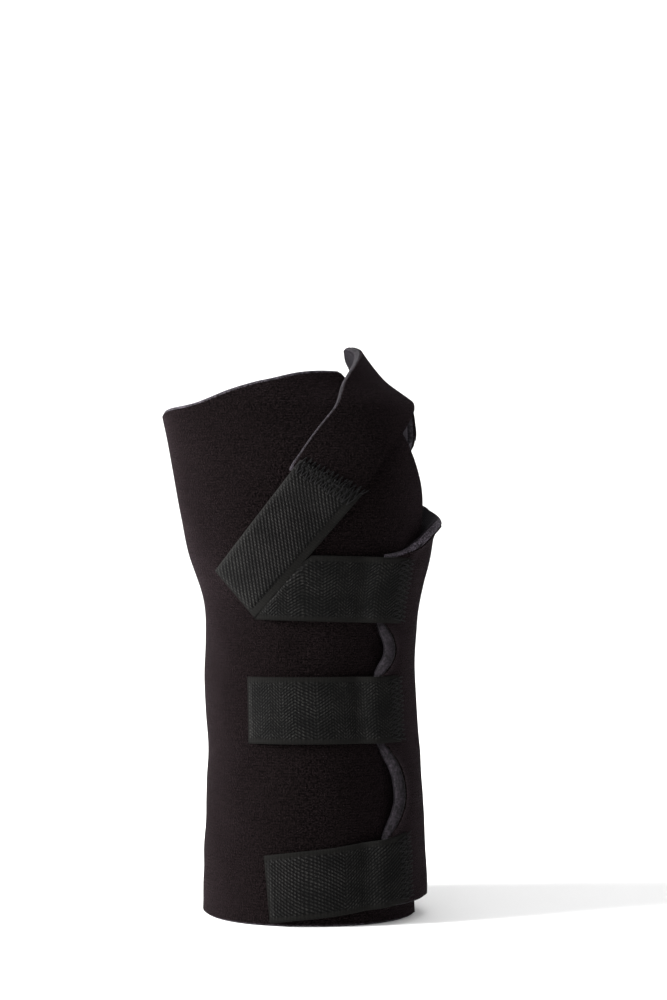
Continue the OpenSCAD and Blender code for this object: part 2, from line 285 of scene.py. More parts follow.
def closed_sheet(low, high, rows=1, bulge=0.0, cut=None):
    """Vertices and faces of a closed sheet between two grids. Its edge has that many rows, which
    bulge where it is cut."""
    nu, nv = low.shape[:2]
    n = nu * nv
    rim = np.array(rim_of(nu, nv))
    flat_low, flat_high = low.reshape(-1, 3), high.reshape(-1, 3)
    middle = (flat_low + flat_high) / 2
    i, j = rim // nv, rim % nv
    inside = np.clip(i, 1, nu - 2) * nv + np.clip(j, 1, nv - 2)
    out = middle[rim] - middle[inside]
    out /= np.maximum(np.linalg.norm(out, axis=1, keepdims=True), 1e-9)
    strength = np.ones(len(rim)) if cut is None else cut.reshape(-1)[rim]
    verts = [flat_low, flat_high]
    for t in np.arange(1, rows) / rows:
        push = bulge * 4 * t * (1 - t) * strength[:, None] * out
        verts.append(lerp(flat_low[rim], flat_high[rim], t) + push)
    faces = [quads_of(nu, nv), quads_of(nu, nv)[:, ::-1] + n]
    rings = [rim] + [2 * n + k * len(rim) + np.arange(len(rim)) for k in range(rows - 1)] + [rim + n]
    for lower, upper in zip(rings, rings[1:]):
        faces.append(np.stack([np.roll(lower, -1), lower, upper, np.roll(upper, -1)], -1))
    return np.concatenate(verts), np.concatenate(faces)


def shell(name, low, high, rows=1, bulge=0.0, cut=None, **layers):
    """A closed sheet as an object. Each layer is a UV map of pairs, one per point of the grids."""
    rim = rim_of(*low.shape[:2])
    spread = {
        key: np.concatenate([pairs.reshape(-1, 2)] * 2 + [pairs.reshape(-1, 2)[rim]] * (rows - 1))
        for key, pairs in layers.items()
    }
    return new_object(name, *closed_sheet(low, high, rows, bulge, cut), **spread)


def stem(centres, ones, twos, radii, sides):
    """Vertices and faces of a closed stem: rings round its centres in the plane of two directions."""
    verts, faces = [], []
    for centre, one, two, radius in zip(centres, ones, twos, radii):
        for k in range(sides):
            a = 2 * math.pi * k / sides
            verts.append(centre + (one * math.cos(a) + two * math.sin(a)) * radius)
    for s in range(len(centres) - 1):
        for k in range(sides):
            m = (k + 1) % sides
            faces.append([s * sides + k, s * sides + m, (s + 1) * sides + m, (s + 1) * sides + k])
    last = (len(centres) - 1) * sides
    faces += [list(range(sides))[::-1], [last + k for k in range(sides)]]
    return verts, faces


def add(verts, faces, part):
    """Adds the vertices and faces of a part to those of a mesh."""
    start = len(verts)
    verts += part[0]
    faces += [[start + k for k in face] for face in part[1]]


def resample(values, old, new, axis):
    """A grid's values at new shares along one axis, on a smooth curve through the old ones."""
    values = np.moveaxis(values, axis, 0)
    slopes = np.gradient(values, old, axis=0)
    i = np.clip(np.searchsorted(old, new, side="right") - 1, 0, len(old) - 2)
    shape = (-1,) + (1,) * (values.ndim - 1)
    h = (old[i + 1] - old[i]).reshape(shape)
    t = ((new - old[i]) / (old[i + 1] - old[i])).reshape(shape)
    curve = hermite(values[i], values[i + 1], slopes[i], slopes[i + 1], h, t)
    return np.moveaxis(curve, 0, axis)


FINE_LINES = [0.0, 0.15, 0.4, 0.8, 1.2]  # millimetres from a cut edge to the lines beside it
FINE_REACH = 1.7  # and to the first of the evenly spaced ones
FACE_INSET = 3  # lines by which the face cloth stops short of a cut edge
EDGE_ROUND, EDGE_DIP = 0.8, 0.64  # the round on a cut edge: its reach and its depth


def spaced(length, step, fine0=True, fine1=True):
    """Shares from 0 to 1 along a length, about step apart, with closer ones beside a cut edge."""
    count = max(int(length / step), 4)
    inner = np.linspace(0, length, count + 1)
    if fine0:
        inner = inner[inner > FINE_REACH]
    if fine1:
        inner = inner[inner < length - FINE_REACH]
    start = FINE_LINES if fine0 else []
    end = [length - d for d in reversed(FINE_LINES)] if fine1 else []
    return np.concatenate([start, inner, end]) / length


def rounding(distance, cut):
    """How far a surface dips at a distance from a cut edge, for a small round on the edge."""
    t = np.clip(1 - distance / EDGE_ROUND, 0, 1)
    return EDGE_DIP * (1 - np.sqrt(1 - t**2)) * cut


def arc_length(grid, axis):
    """Distance along a grid's lines from their first point."""
    steps = np.linalg.norm(np.diff(grid, axis=axis), axis=-1)
    shape = list(steps.shape)
    shape[axis] = 1
    return np.concatenate([np.zeros(shape), np.cumsum(steps, axis=axis)], axis=axis)


def refine(grid, turn, z, swell, cuts):
    """A sheet's grid, its unit normals, turn, height and swell on finer lines, closer at cut edges."""
    lengths = arc_length(grid, 0)[-1].max(), arc_length(grid, 1)[:, -1].max()
    n = normals(grid)
    n[..., 2] *= smooth(grid[..., 2] / LEVEL_RIM)
    place = np.concatenate([grid, n, np.stack([turn, z, swell], -1)], -1)
    for axis, ends in ((0, cuts[:2]), (1, cuts[2:])):
        old = np.linspace(0, 1, grid.shape[axis])
        new = spaced(lengths[axis], LAMINATE_STEP, ends[0] is not False, ends[1] is not False)
        place = resample(place, old, new, axis)
    grid, n, (turn, z, swell) = place[..., :3], place[..., 3:6], np.moveaxis(place[..., 6:], -1, 0)
    return grid, n / np.linalg.norm(n, axis=-1, keepdims=True), turn, z, swell


def cut_edges(grid, z, cuts):
    """How far each place is part of a cut edge, and how far the foam dips there for its round."""
    cut, dip = np.zeros(z.shape), np.zeros(z.shape)
    across, up = arc_length(grid, 0), arc_length(grid, 1)
    distances = (across, across[-1:] - across, up, up[:, -1:] - up)
    edges = (np.s_[:1, :], np.s_[-1:, :], np.s_[:, :1], np.s_[:, -1:])
    for is_cut, distance, edge in zip(cuts, distances, edges):
        share = is_cut(z[edge]) if callable(is_cut) else np.full(z[edge].shape, float(is_cut))
        cut[edge] = np.maximum(cut[edge], share)
        dip = dip + rounding(distance, share)
    return cut, dip


def laminate(name, grid, turn, z, cuts, swell=None, bare=0):
    """Face, foam and lining of a sheet whose middle surface is the grid. The cuts say of its first and
    last column and its bottom and top row whether each is a cut edge, or how far at each height. The
    foam shows at a cut edge, and by that many more grid lines along the top if bare is given. swell
    is how much thicker the foam is than elsewhere."""
    swell = 0 * z if swell is None else swell
    grid, n, turn, z, swell = refine(grid, turn, z, swell, cuts)
    cut, dip = cut_edges(grid, z, cuts)
    uv = np.stack([turn * MEAN_TURN_MM, z], -1) * MM  # place on the cut sheet
    under, above = -WRAP_T / 2 - swell / 2, WRAP_T / 2 + swell / 2
    levels = under, under + LINING_T, above - FACE_T - dip, above
    grids = [grid + n * level[..., None] for level in levels]
    lining = shell(name + "_lining_cloth", grids[0], grids[1], 1, cut=cut, cloth=uv)
    foam = shell(name + "_foam_core", grids[1], grids[2], 6, 0.35, cut, cloth=uv)
    i0, i1, j0, j1 = (FACE_INSET if c is True else 0 for c in cuts)
    inner = (slice(i0, grid.shape[0] - i1), slice(j0, grid.shape[1] - j1 - bare))
    face = shell(name + "_loop_face", grids[2][inner], grids[3][inner], 2, 0.08, cloth=uv[inner])
    return face, foam, lining


# ---------------------------------------------------------------- the wrap, flap and web strap

WRAP_GRID, FLAP_GRID = (180, 160, 2.0), (62, 120, 1.5)  # simulated sheets: width, height, spacing
LAMINATE_STEP = 1.3  # spacing of the finished layers
LEVEL_RIM = 8  # from this height down the layers' normals turn level: the splint stands on its rim

# Where the wrap and the flap are held while they settle: how far past the thing that holds them, and
# over what distance or turn they then get free.
TAPE_HELD, TAPE_FADE, SEWN_FADE = TAPE_W / 2 + 1, 7, 6
WEB_PATH = [(361, 171), (440, 135), (481, 102)]  # turn and height along the web strap and its tab
WEB_HELD, WEB_FADE = 14, 8
POCKET_HELD, POCKET_FADE, POCKET_TURN = POCKET_W / 2 + 2, 6, 200
FOLD_FADE, RIM_FADE = 18, 10
FLAP_COVER, COVER_FADE = 4, 12
WEB_LOOSE_START, WEB_LOOSE_END = (372, 12), (430, 15)  # turns where the web strap is uneven
WRAP_SLACK, FLAP_SLACK = (0.5, 0.5), (0.1, 0.4)  # how far in and out they may settle
PLY_HOLLOW = -0.1  # the deepest hollow of an upper ply, which lies on the one below

RELIEF = [  # soft unevenness of the worn sheet: height, and size and shift of its hollows
    (0.6, (24, 24, 30), 0),
    (0.2, (9, 9, 12), 40),
]

FLAP_HEM = 325, 40  # turn where the flap's lower edge leaves the floor, and how far on it is up
SCALLOP_START = 322  # turn from which the flap's columns follow its scalloped edge
EDGE_SWELL_REACH = 7, 6  # how far in from its free edge the flap's foam thickens, and over what
WEB_COLUMNS_PALM, WEB_COLUMNS_BACK, WEB_ROWS = 14, 44, 17


def hole_turn(z):
    """Turn of the thumb hole's palm edge at a height."""
    return lerp(FLAP_SPLIT, WEB_FOLD, climb(z, HOLE_Z0, HOLE_Z1 - HOLE_Z0))


HOLE_CURVE = np.linspace(HOLE_Z0, HOLE_Z1, 200)
HOLE_TURNS = hole_turn(HOLE_CURVE)


def hole_z(turn):
    """The other way round: its height at a turn."""
    return np.interp(turn, HOLE_TURNS, HOLE_CURVE)


def band(distance, half, fade):
    """1 within half of the middle of a band, falling to 0 over fade."""
    return 1 - climb(np.abs(distance), half, fade)


def from_line(turn, z, a, b):
    """Distance in millimetres on the sleeve from the line between two places."""
    scale = np.array([TURN_MM, 1.0])
    p = np.stack([turn, z], -1) * scale
    a, b = np.array(a) * scale, np.array(b) * scale
    t = np.clip(((p - a) @ (b - a)) / ((b - a) @ (b - a)), 0, 1)
    return np.linalg.norm(p - (a + t[..., None] * (b - a)), axis=-1)


def free_wrap(turn, z):
    """How free each place of the wrap is to move: 0 under the straps, the flap and the pocket."""
    front = turn + 360
    held = 1 - climb(front, FLAP_EDGE + FLAP_COVER, COVER_FADE)
    for strap in STRAPS.values():
        from_middle = z - strap_z(strap, front, 0.5)
        past_end = np.maximum(front - max(strap[2:]), 0) * TURN_MM
        held = np.maximum(held, band(np.hypot(from_middle, past_end), TAPE_HELD, TAPE_FADE))
    from_web = np.minimum(from_line(front, z, *WEB_PATH[:2]), from_line(front, z, *WEB_PATH[1:]))
    held = np.maximum(held, band(from_web, WEB_HELD, WEB_FADE))
    from_pocket = skin(turn, z, 0)[..., 0]
    held = np.maximum(held, band(from_pocket, POCKET_HELD, POCKET_FADE) * (turn > POCKET_TURN))
    return (1 - held) * fall(turn, FLAP_SPLIT - 2, FOLD_FADE) * climb(z, 0, RIM_FADE)


def free_flap(turn, z):
    """How free each place of the flap is: 0 at its fold and where the straps are sewn on."""
    held = np.zeros(np.shape(turn))
    for height, _, _, _ in STRAPS.values():
        sewn = climb(turn, STRAP_START - FOLD_FADE, FOLD_FADE)
        held = np.maximum(held, band(z - height, TAPE_HELD, SEWN_FADE) * sewn)
    return (1 - held) * climb(turn, FLAP_SPLIT + 6, FOLD_FADE) * climb(z, 0, RIM_FADE)


def relief(turn, z):
    """Height of the sheet's unevenness at each place."""
    points = skin(turn, z, 0).reshape(-1, 3)
    total = 0
    for height, size, shift in RELIEF:
        places = points / size + (shift, 0, 0)
        total = total + height * np.array([noise.noise(Vector(p)) for p in places])
    return total.reshape(np.shape(turn))


def simulate(grid, free, frames=14):
    """A sheet's points after a cloth simulation, in millimetres. The sheet is cut 2% too large."""
    sheet = new_object("settling_sheet", grid.reshape(-1, 3), quads_of(*grid.shape[:2]))
    group = sheet.vertex_groups.new(name="held")
    for index, share in enumerate(free.ravel()):
        group.add([index], float(1 - share), "REPLACE")
    settings = sheet.modifiers.new("Cloth", "CLOTH").settings
    settings.quality = 8
    settings.mass = 0.4
    settings.tension_stiffness = settings.compression_stiffness = 20
    settings.shear_stiffness = 8
    settings.bending_stiffness = 4
    settings.air_damping = 2
    settings.shrink_min = -0.02
    settings.vertex_group_mass = "held"
    settings.effector_weights.gravity = 0
    scene = bpy.context.scene
    for frame_number in range(1, frames + 1):
        scene.frame_set(frame_number)
    settled = sheet.evaluated_get(bpy.context.evaluated_depsgraph_get()).data
    moved = np.empty(grid.size)
    settled.vertices.foreach_get("co", moved)
    scene.frame_set(1)
    bpy.data.objects.remove(sheet, do_unlink=True)
    return moved.reshape(grid.shape) / MM


def settle(grid, free, inward, outward, smoothings=4):
    """Lets a sheet buckle between the places that hold it. It ends smooth, and within inward and
    outward millimetres of where it starts."""
    n = normals(grid)
    push = ((simulate(grid, free) - grid) * n).sum(-1)
    push = np.clip(np.nan_to_num(push), -inward, outward) * free
    for _ in range(smoothings):
        for axis in (0, 1):
            push = (push + np.roll(push, 1, axis) + np.roll(push, -1, axis)) / 3
    return grid + n * (push * free)[..., None]


def shares(width, height, step):
    """A grid of shares from 0 to 1 over a sheet's width and height."""
    along = (np.linspace(0, 1, int(size / step) + 1) for size in (width, height))
    return np.meshgrid(*along, indexing="ij")


def make_wrap():
    """The sheet round the hand and forearm, from its covered edge to the flap's fold."""
    P, Q = shares(*WRAP_GRID)
    z = Q * read(WRAP_TOP, lerp(WEB_EDGE_TURN, WEB_SPLIT, P))
    low = lerp(EDGE_TURN, WEB_EDGE_TURN, climb(z, EDGE_Z0, EDGE_Z1 - EDGE_Z0))
    high = np.where(z < HOLE_Z0, FLAP_SPLIT, np.minimum(hole_turn(z), WEB_SPLIT))
    turn = lerp(low, high, P)
    grid = skin(turn, z, WRAP_T / 2 + lift(turn))
    free = free_wrap(turn, z)
    grid = pushed(grid, relief(turn, z) * free)
    grid = settle(grid, free, *WRAP_SLACK)

    def in_hole(height):
        return ((height > HOLE_Z0 - 0.5) & (hole_turn(height) < WEB_SPLIT)) * 1.0

    return laminate("wrap", grid, turn, z, (True, in_hole, True, True), bare=1)


def make_flap():
    """The flap, from its fold to the scalloped edge that the straps are sewn to."""
    P, Q = shares(*FLAP_GRID)
    mid = lerp(FLAP_SPLIT, FLAP_EDGE, P)
    top = read(FLAP_TOP, np.maximum(mid, FLAP_TOP[0, 0]))
    z = lerp(FLAP_BOTTOM * climb(mid, *FLAP_HEM), top, Q)
    share = np.clip((mid - SCALLOP_START) / (FLAP_EDGE - SCALLOP_START), 0, 1)
    turn = mid - share**3 * scallop(z)
    edge = FLAP_EDGE - scallop(z)
    grid = skin(turn, z, WRAP_T / 2 + lift(turn))
    free = free_flap(turn, z)
    grid = pushed(grid, np.maximum(relief(turn, z), PLY_HOLLOW) * free)
    grid = settle(grid, free, *FLAP_SLACK)
    grid = pushed(grid, edge_curl(turn, z, edge) + rim_curl(turn, z, top))
    depth, over = EDGE_SWELL_REACH
    swell = EDGE_SWELL * sum(gap(z)) * climb(turn, edge - depth, over)
    return laminate("flap", grid, turn, z, (False, True, True, True), swell)


def web_edges(p_palm, p_back):
    """Upper and lower edge of the web strap's pieces, from the palm side over the fold to the end."""
    turns = lerp(WEB_SPLIT, WEB_FOLD, p_palm)
    upper = np.concatenate([np.stack([turns, read(WRAP_TOP, turns)], -1), curve3(WEB_UPPER, p_back)])
    lower = np.concatenate([np.stack([turns, hole_z(turns)], -1), curve3(WEB_LOWER, p_back)])
    return upper, lower


def make_web():
    """The web strap, from the palm over the thumb web to the end that its tab is sewn to."""
    p_palm = np.linspace(0, 1, WEB_COLUMNS_PALM)[:-1]
    p_back = np.linspace(0, 1, WEB_COLUMNS_BACK)
    q = np.linspace(0, 1, WEB_ROWS)
    upper, lower = web_edges(p_palm, p_back)
    v = lerp(lower[:, None], upper[:, None], q[None, :, None])
    turn, z = v[..., 0], v[..., 1]
    grid = skin(turn, z, WRAP_T / 2 + web_lift(turn, z))
    loose = climb(turn, *WEB_LOOSE_START) * fall(turn, *WEB_LOOSE_END)
    grid = pushed(grid, np.maximum(relief(turn, z), PLY_HOLLOW) * loose)
    covered = np.ones_like  # the face reaches this cut and hides the foam from in front
    return laminate("web_strap", grid, turn, z, (False, True, covered, True))


# ---------------------------------------------------------------- straps

TAPE_DRIFT, DRIFT_LENGTH = 0.8, 3.7  # how far the ribs' columns wander, and over what length
CUT_BARE = 0.5  # ribs stop this far short of a tape's cut end
RIB_FADE = 0.4  # over which they come up beside a selvedge
SELVEDGE_SHARE, CROWN_REACH = 0.68, 0.9  # how thick a selvedge is, and how soon the tape is full
CORNER_DEPTH, CORNER_REACH = 0.25, 0.3  # the round on a tape's long edges
TAB_STEP = 0.5, 10  # where past its fold the web tab steps down, and over what

BACKING_T, HOOK_ROWS, HOOK_COLUMNS = 0.14, 24, 12
HOOK_GRID = 30, 15  # lines of the grid that the hooks stand on
HOOK_MARGIN, HOOK_GAP = 1.6, 0.03  # in from the tape's sides, and off its underside
HOOKS_START, HOOKS_END = 6, 1  # turn past the flap's edge, and short of the strap's end
TAB_HOOKS = (0.32, 0.97), (0.07, 0.93)  # shares along and up the web tab
HOOK_STAGGER = 0.25  # shift of every second row, in columns
HOOK_PATH = [  # up, over and radius
    (0, 0, 0.11), (0.32, 0.02, 0.09), (0.58, 0.12, 0.075), (0.66, 0.28, 0.06), (0.56, 0.38, 0.03),
]


def tape_off(turn):
    """How far out a strap's underside is: on the flap, then on the back panel past its edge."""
    return lerp(SEWN_OFF, STUCK_OFF, climb(turn, FLAP_EDGE, STEP_TURN))


def strap_z(strap, turn, q):
    """Height of a strap at a turn, q up from its lower edge."""
    return strap[0] + strap[1] * (turn - FLAP_EDGE) / STRAP_SPAN + (q - 0.5) * TAPE_W


def herringbone(twill, along, across):
    """Phase of a tape's ribs: they slant one way in one column and the other way in the next."""
    pitch, slope, column, start = twill
    drift = along + TAPE_DRIFT * np.sin(along / DRIFT_LENGTH)
    zig = np.abs((drift - start + column) % (2 * column) - column)
    return (across - slope * zig) / pitch


def tape(name, low, along, across, phase, rib_height=RIB_HEIGHT, selvedges=(SELVEDGE, SELVEDGE)):
    """A woven tape on the grid of its underside, at places along and across it in millimetres. Its
    ribs stop at the lower and the upper selvedge, and just short of its cut end."""
    edge = np.minimum(across, across[:, -1:] - across)
    inside = np.minimum(across - selvedges[0], across[:, -1:] - across - selvedges[1])
    inside = np.minimum(inside, along[-1:] - along - CUT_BARE)
    ribbed = climb(inside, -RIB_FADE / 2, RIB_FADE)
    crown = TAPE_T * lerp(SELVEDGE_SHARE, 1.0, climb(inside, 0, CROWN_REACH))
    corner = CORNER_DEPTH * np.clip(1 - edge / CORNER_REACH, 0, 1)
    ribs = rib_height * ribbed * (np.cos(2 * np.pi * phase) - 1)
    top = pushed(low, crown - corner + ribs)
    cloth = np.stack([along, across], -1) * MM
    return shell(name + "_tape", low, top, cloth=cloth, twill=np.stack([phase, ribbed], -1))


def make_strap(name, strap):
    """A strap's tape, from its sewn end on the flap to its free end on the back panel."""
    q = spaced(TAPE_W, RIB_STEP)
    p = spaced((max(strap[2:]) - STRAP_START) * TURN_MM, RIB_STEP)
    turn = lerp(STRAP_START, lerp(strap[2], strap[3], q)[None, :], p[:, None])
    low = skin(turn, strap_z(strap, turn, q[None, :]), tape_off(turn))
    along, across = turn * TURN_MM, np.broadcast_to(q * TAPE_W, turn.shape)
    return tape(name, low, along, across, herringbone(TWILLS[name], along, across))


def tab_place(p, q, above=0.0):
    """A point of the web tab at shares p to its free end and q up from its lower edge. The tab steps
    down from the web strap to the back panel just past its fold."""
    p, q = np.asarray(p, float)[..., None], np.asarray(q, float)[..., None]
    sewn, free = (lerp(lower, upper, q) for lower, upper in TAB_CORNERS)
    x, z = np.moveaxis(lerp(sewn, free, p), -1, 0)
    past = (x - TAB_FOLD[0]) * TAB_DOWN[0] + (z - TAB_FOLD[1]) * TAB_DOWN[1]
    off = lerp(SEWN_OFF, STUCK_OFF, climb(past, *TAB_STEP))
    return facing(-1, x, z, off + above)


def make_web_tab():
    """The web tab's tape, with its ribs in one slanting set."""
    p, q = np.meshgrid(spaced(TAB_LENGTH, RIB_STEP), spaced(TAB_W, RIB_STEP), indexing="ij")
    grid = tab_place(p, q)
    along, across = arc_length(grid, 0), arc_length(grid, 1)
    phase = (grid[..., 0] + TAB_RIB_LEAN * grid[..., 2]) / TAB_RIB_PITCH
    return tape("web_tab", grid, along, across, phase, TAB_RIB_HEIGHT, TAB_SELVEDGES)


def hook(base, out, lean):
    """One moulded hook: a tapering three-sided stem that bends over."""
    up, over, radii = np.array(HOOK_PATH).T[..., None]
    side = np.cross(out, lean)
    return stem(base + out * up + lean * over, [lean] * len(up), [side] * len(up), radii, 3)


def hook_field(name, under):
    """A backing sheet and rows of hooks on a grid that is the tape's underside."""
    out = -normals(under)
    face = under + out * BACKING_T
    nu, nv = under.shape[:2]
    verts, faces = (list(part) for part in closed_sheet(face, under))
    for i in range(HOOK_ROWS):
        for j in range(HOOK_COLUMNS):
            column = j + 0.5 + HOOK_STAGGER * (i % 2)
            a = int((i + 0.5) / HOOK_ROWS * (nu - 1))
            b = int(column / (HOOK_COLUMNS + HOOK_STAGGER) * (nv - 1))
            base = lerp(face[a, b], face[min(a + 1, nu - 1), min(b + 1, nv - 1)], 0.5)
            lean = under[min(a + 1, nu - 1), b] - under[max(a - 1, 0), b]
            lean = lean / np.linalg.norm(lean) * (1 if j % 2 else -1)
            add(verts, faces, hook(base, out[a, b], lean))
    return new_object(name, verts, faces)


def make_strap_hooks(name, strap):
    """Hooks under a strap, past the edge of the flap."""
    p = np.linspace(0, 1, HOOK_GRID[0])
    q = np.linspace(HOOK_MARGIN / TAPE_W, 1 - HOOK_MARGIN / TAPE_W, HOOK_GRID[1])
    end = lerp(strap[2], strap[3], q) - HOOKS_END
    turn = lerp(FLAP_EDGE + HOOKS_START, end[None, :], p[:, None])
    grid = skin(turn, strap_z(strap, turn, q[None, :]), tape_off(turn) - HOOK_GAP)
    return hook_field(name + "_hook_field", grid)


def make_tab_hooks():
    """Hooks under the web tab, past its fold."""
    ends = zip(TAB_HOOKS, HOOK_GRID)
    p, q = np.meshgrid(*(np.linspace(low, high, lines) for (low, high), lines in ends), indexing="ij")
    return hook_field("web_tab_hook_field", tab_place(p, q, -HOOK_GAP))


# ---------------------------------------------------------------- thread

THREAD_R, TOPSTITCH_R = 0.2, 0.17
STITCH_POINTS = 7
# Rows of zigzag over a sewn end: from and to along the tape, in from its sides, and the pitch. The
# first binds the cut edge to the cloth below, the second lies on the tape.
STRAP_SEAMS = [(-5.5, 1.4, 0.5, 0.75), (1.6, 7.4, 0.8, 0.8)]
TAB_SEAMS = [(-2.2, 2.4, 0.4, 0.8), (1.8, 5.2, 0.8, 0.85)]
RAGGED = 0.16  # how far a zigzag's corners stray, as a share of its width
SEAM_SINK = 0.95  # stitches pull into the tape by the rest of its thickness
LOOSE_THREADS = (0.3, 0.9, 2.2, 6.5, 14)  # places across the web tab


def tube(points, radius, sides=6):
    """Vertices and faces of a closed tube along points."""
    points = np.asarray(points, float)
    along = np.gradient(points, axis=0)
    along /= np.linalg.norm(along, axis=1, keepdims=True)
    helper = np.array([0.3, 0.5, 0.81])
    one = np.cross(along, helper)
    one /= np.linalg.norm(one, axis=1, keepdims=True)
    two = np.cross(along, one)
    return stem(points, one, two, np.full(len(points), radius), sides)


def stitches(name, ends, place, radius):
    """Stitches between pairs of places on a surface: each rises out of the cloth and dives back in."""
    verts, faces = [], []
    t = np.linspace(0, 1, STITCH_POINTS)
    height = radius * (1.1 * np.sin(np.pi * t) ** 0.4 - 0.7)
    for start, end in ends:
        line = lerp(np.array(start, float), np.array(end, float), t[:, None])
        points = place(line[:, 0], line[:, 1], height)
        add(verts, faces, tube(points, radius))
    return new_object(name, verts, faces)


def zigzag(near, far, low, high, pitch):
    """Stitch ends of a slightly ragged zigzag between two lines."""
    count = int(round((high - low) / pitch))
    step = (high - low) / count
    corners = []
    for k in range(count + 1):
        stray = RAGGED * (far - near) * noise.noise(Vector((k * 0.73, near, far)))
        corners.append(((far if k % 2 else near) + stray, low + k * step))
    return list(zip(corners, corners[1:]))


def seam_ends(seams, start, width):
    """Stitch ends of a tape's rows of zigzag, which are given from the start of its sewn end."""
    ends = []
    for near, far, inset, pitch in seams:
        ends += zigzag(start + near, start + far, inset, width - inset, pitch)
    return ends


def make_strap_stitching(name, strap):
    """Two rows of zigzag over a strap's sewn end."""
    def place(turn, across, height):
        z = strap_z(strap, turn, across / TAPE_W)
        on_tape = TAPE_T * SEAM_SINK * climb(turn, STRAP_START - 0.5, 0.9)
        return skin(turn, z, tape_off(turn) + on_tape + height)

    return stitches(name + "_zigzag", seam_ends(STRAP_SEAMS, STRAP_START, TAPE_W), place, THREAD_R)


def make_tab_stitching():
    """Two rows of zigzag over the web tab's sewn end."""
    def place(along, across, height):
        on_tape = TAPE_T * SEAM_SINK * climb(along, -0.3, 0.5)
        return tab_place(along / TAB_LENGTH, across / TAB_W, on_tape + height)

    return stitches("web_tab_zigzag", seam_ends(TAB_SEAMS, 0, TAB_W), place, THREAD_R)


def make_loose_threads():
    """Clipped thread ends that stand out of the seam at the web tab's lower edge."""
    random = np.random.default_rng(7)
    t = np.linspace(0, 1, 8)
    verts, faces = [], []
    for across in LOOSE_THREADS:
        reach, side, rise = random.uniform(1.8, 3.6), random.normal(0, 0.9), random.uniform(0.4, 1.0)
        along = 0.4 - reach * t
        height = TAPE_T * 0.6 + rise * np.sin(np.pi * t * 0.8)
        points = tab_place(along / TAB_LENGTH, (across + side * t**2 - 1.2 * t) / TAB_W, height)
        add(verts, faces, tube(points, THREAD_R * 0.5, 5))
    return new_object("web_tab_loose_threads", verts, faces)


# ---------------------------------------------------------------- pocket and stay

POCKET_SEAM, POCKET_SLOPE, CLOTH_GAP = 1, 3, 0.05  # flat seam, the slope inside it, air below cloth
POCKET_COLUMNS, POCKET_ROWS, FOOT_ROWS, FOOT_H = 41, 67, 9, 6  # the foot is where its room starts
HEM_ROWS, HEM_H, HEM_T, HEM_ROUND, HEM_EDGE = 9, 7, 0.7, 0.8, 0.25
STITCH_LENGTH, STITCH_PITCH = 2.1, 2.7
SIDE_INSET, FOOT_INSET = 1.2, 0.9  # of the pocket's stitching


def pocket_off(x, z):
    """How far the pocket's cloth stands off the palm: room for the stay inside its seams."""
    side = fall(np.abs(x), POCKET_W / 2 - POCKET_SEAM, POCKET_SLOPE)
    return CLOTH_GAP + POCKET_ROOM * side * climb(z, POCKET_Z0 + POCKET_SEAM, POCKET_SLOPE)


def pocket_grid(z, off):
    """Places x and z over the pocket's width at the given heights, and points that far off it."""
    x = np.linspace(POCKET_W / 2, -POCKET_W / 2, POCKET_COLUMNS)
    X, Z = np.meshgrid(x, z, indexing="ij")
    return X, Z, facing(1, X, Z, WRAP_T + pocket_off(X, Z) + off)


def make_pocket():
    """The cloth of the pocket that holds the stay."""
    foot = np.linspace(POCKET_Z0, POCKET_Z0 + FOOT_H, FOOT_ROWS)[:-1]
    z = np.concatenate([foot, np.linspace(POCKET_Z0 + FOOT_H, POCKET_Z1, POCKET_ROWS)])
    X, Z, grid = pocket_grid(z, 0)
    cloth = np.stack([X, Z], -1) * MM
    pocket = shell("stay_pocket_cloth", grid, pushed(grid, POCKET_T), 3, 0.15, cloth=cloth)
    return pocket


def make_hem():
    """The binding at the pocket's mouth."""
    z = np.linspace(POCKET_Z1 - HEM_H, POCKET_Z1, HEM_ROWS)
    X, Z, grid = pocket_grid(z, POCKET_T + CLOTH_GAP)
    crown = HEM_T * np.clip(np.minimum(Z - Z.min(), Z.max() - Z) / HEM_ROUND, HEM_EDGE, 1)
    return shell("pocket_binding", grid, pushed(grid, crown), cloth=np.stack([X, Z], -1) * MM)


def make_pocket_stitching():
    """Straight stitching down the pocket's sides and along its foot."""
    def place(x, z, height):
        return facing(1, x, z, WRAP_T + pocket_off(x, z) + POCKET_T + CLOTH_GAP + height)

    side_x, foot_z = POCKET_W / 2 - SIDE_INSET, POCKET_Z0 + FOOT_INSET
    ends = [
        ((x, z), (x, z + STITCH_LENGTH))
        for x in (-side_x, side_x)
        for z in np.arange(POCKET_Z0 + 2, POCKET_Z1 - 10, STITCH_PITCH)
    ]
    ends += [((x, foot_z), (x + STITCH_LENGTH, foot_z)) for x in np.arange(-12, 10, STITCH_PITCH)]
    return stitches("pocket_topstitch", ends, place, TOPSTITCH_R)


# ---------------------------------------------------------------- materials


def material(name, roughness, specular, sheen=0.0, sheen_tint=(1, 1, 1), sheen_roughness=0.5):
    """A new material and its shader."""
    mat = bpy.data.materials.new(name)
    mat.use_nodes = True
    shader = mat.node_tree.nodes["Principled BSDF"]
    shader.inputs["Roughness"].default_value = roughness
    shader.inputs["Specular IOR Level"].default_value = specular
    shader.inputs["Sheen Weight"].default_value = sheen
    shader.inputs["Sheen Roughness"].default_value = sheen_roughness
    shader.inputs["Sheen Tint"].default_value = (*sheen_tint, 1)
    return mat, shader


def new_node(beside, kind):
    """A new shader node in the tree of another node or of a socket."""
    return beside.id_data.nodes.new("ShaderNode" + kind)


def plug(socket, value):
    """Links a socket to another one, or sets it to a value."""
    if isinstance(value, bpy.types.NodeSocket):
        socket.id_data.links.new(value, socket)
    else:
        socket.default_value = value


